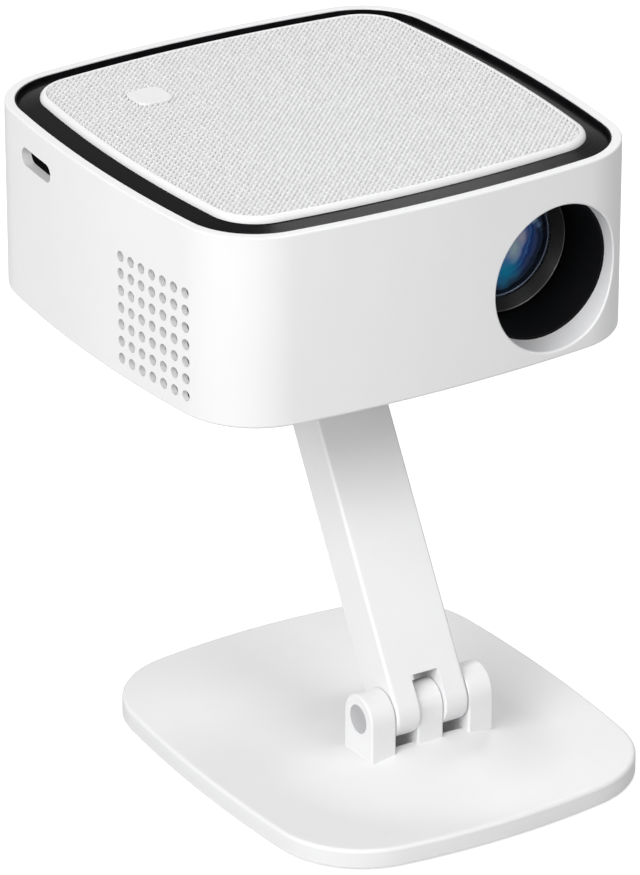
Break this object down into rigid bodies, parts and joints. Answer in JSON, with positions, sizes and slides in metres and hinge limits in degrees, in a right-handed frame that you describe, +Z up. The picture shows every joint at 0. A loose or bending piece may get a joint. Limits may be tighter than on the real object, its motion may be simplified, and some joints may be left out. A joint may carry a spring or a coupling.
{
  "type": "table projector",
  "caption": "Compact square table projector with a mesh top, side vents and a recessed round lens, held by a folding arm on a weighted base plate.",
  "frame": {"origin": "centre of the stand's rubber pad, on the table", "axes": "+Z up, the lens looks along -Y, +X to the right of someone who looks along +Y"},
  "size_m": [0.142, 0.1736, 0.1803],
  "materials": {
    "white_plastic": "satin moulded",
    "grey_plastic": "moulded",
    "white_mesh": "fine woven mesh",
    "button_white": "satin",
    "black_gloss": "polished",
    "black_plastic": "matt moulded",
    "satin_black": "satin moulded",
    "smoked_trim": "anodised",
    "pad_rubber": "fine grain",
    "zinc_steel": "zinc plated",
    "satin_steel": "satin",
    "bright_trim": "turned",
    "raw_aluminium": "extruded",
    "coated_glass": "blue violet coating",
    "clear_glass": "clear",
    "lcd_glass": "polarised",
    "led_copper": "plated",
    "circuit_board": "solder mask",
    "cone_paper": "pressed"
  },
  "bodies": {
    "base": {"base_cover": "white_plastic", "base_weight": "zinc_steel", "base_bottom": "grey_plastic", "base_pad": "pad_rubber", "base_screws": "zinc_steel", "lower_hinge_pin": "satin_steel", "lower_pin_cap": "satin_steel"},
    "arm": {"arm_shell": "white_plastic", "arm_back_cover": "white_plastic", "arm_core": "zinc_steel", "arm_screws": "zinc_steel", "lower_friction_sleeves": "zinc_steel", "upper_friction_sleeves": "zinc_steel"},
    "head": {"head_bracket": "white_plastic", "bracket_plate": "zinc_steel", "bracket_screws": "zinc_steel", "upper_hinge_pin": "satin_steel", "upper_pin_cap": "satin_steel", "head_shell": "white_plastic", "bottom_cover": "white_plastic", "case_screws": "zinc_steel", "top_deck": "grey_plastic", "black_band": "black_gloss", "top_panel": "white_plastic", "top_mesh": "white_mesh", "button_switch": "black_plastic", "strap_pocket": "black_plastic", "lens_shroud": "black_plastic", "guide_rods": "satin_steel", "focus_motor": "zinc_steel", "engine_box": "black_plastic", "engine_lid": "black_plastic", "field_lens": "clear_glass", "lcd_panel": "lcd_glass", "fresnel_lens": "clear_glass", "condenser_lens": "clear_glass", "led_module": "led_copper", "heat_sink": "raw_aluminium", "dust_filter": "grey_plastic", "side_fan_frame": "black_plastic", "rear_fan_frame": "black_plastic", "fan_screws": "zinc_steel", "speaker_basket": "zinc_steel", "speaker_cone": "cone_paper", "speaker_magnet": "zinc_steel", "main_board": "circuit_board", "chip_heat_sink": "raw_aluminium", "driver_board": "circuit_board", "port_plate": "black_plastic", "port_sockets": "satin_steel"},
    "lens": {"lens_carriage": "black_plastic", "lens_barrel": "satin_black", "barrel_rim": "bright_trim", "inner_rim": "smoked_trim", "front_glass": "coated_glass", "rear_glass": "coated_glass"},
    "focus_screw": {"focus_screw": "satin_steel"},
    "side_fan": {"side_fan_rotor": "black_plastic"},
    "rear_fan": {"rear_fan_rotor": "black_plastic"},
    "power_button": {"power_button": "button_white"}
  },
  "joints": [
    {"name": "stand_fold", "type": "hinge", "parent": "base", "child": "arm", "pos_m": [0, -0.022, 0.0224], "axis": [-1, 0, 0], "range_deg": [-30, 45]},
    {"name": "head_tilt", "type": "hinge", "parent": "arm", "child": "head", "pos_m": [0, 0.0285, 0.10987], "axis": [1, 0, 0], "range_deg": [-45, 60]},
    {"name": "lens_focus", "type": "slide", "parent": "head", "child": "lens", "axis": [0, -1, 0], "range_m": [-0.002, 0.002]},
    {"name": "focus_screw_spin", "type": "hinge", "parent": "head", "child": "focus_screw", "pos_m": [0.053, 0.00765, 0.16347], "axis": [0, -1, 0], "range_deg": [-361, 361]},
    {"name": "side_fan_spin", "type": "hinge", "parent": "head", "child": "side_fan", "pos_m": [-0.05904, 0.0031, 0.14397], "axis": [1, 0, 0], "continuous": true},
    {"name": "rear_fan_spin", "type": "hinge", "parent": "head", "child": "rear_fan", "pos_m": [0.032, 0.09369, 0.14397], "axis": [0, -1, 0], "continuous": true},
    {"name": "power_press", "type": "slide", "parent": "head", "child": "power_button", "axis": [0, 0, 1], "range_m": [-0.0006, 0], "stiffness_N_per_m": 500, "springref_m": 0.0006}
  ],
  "couplings": [
    {"joint": "focus_screw_spin", "follows": "lens_focus", "rad_per_m": 3141.6}
  ]
}
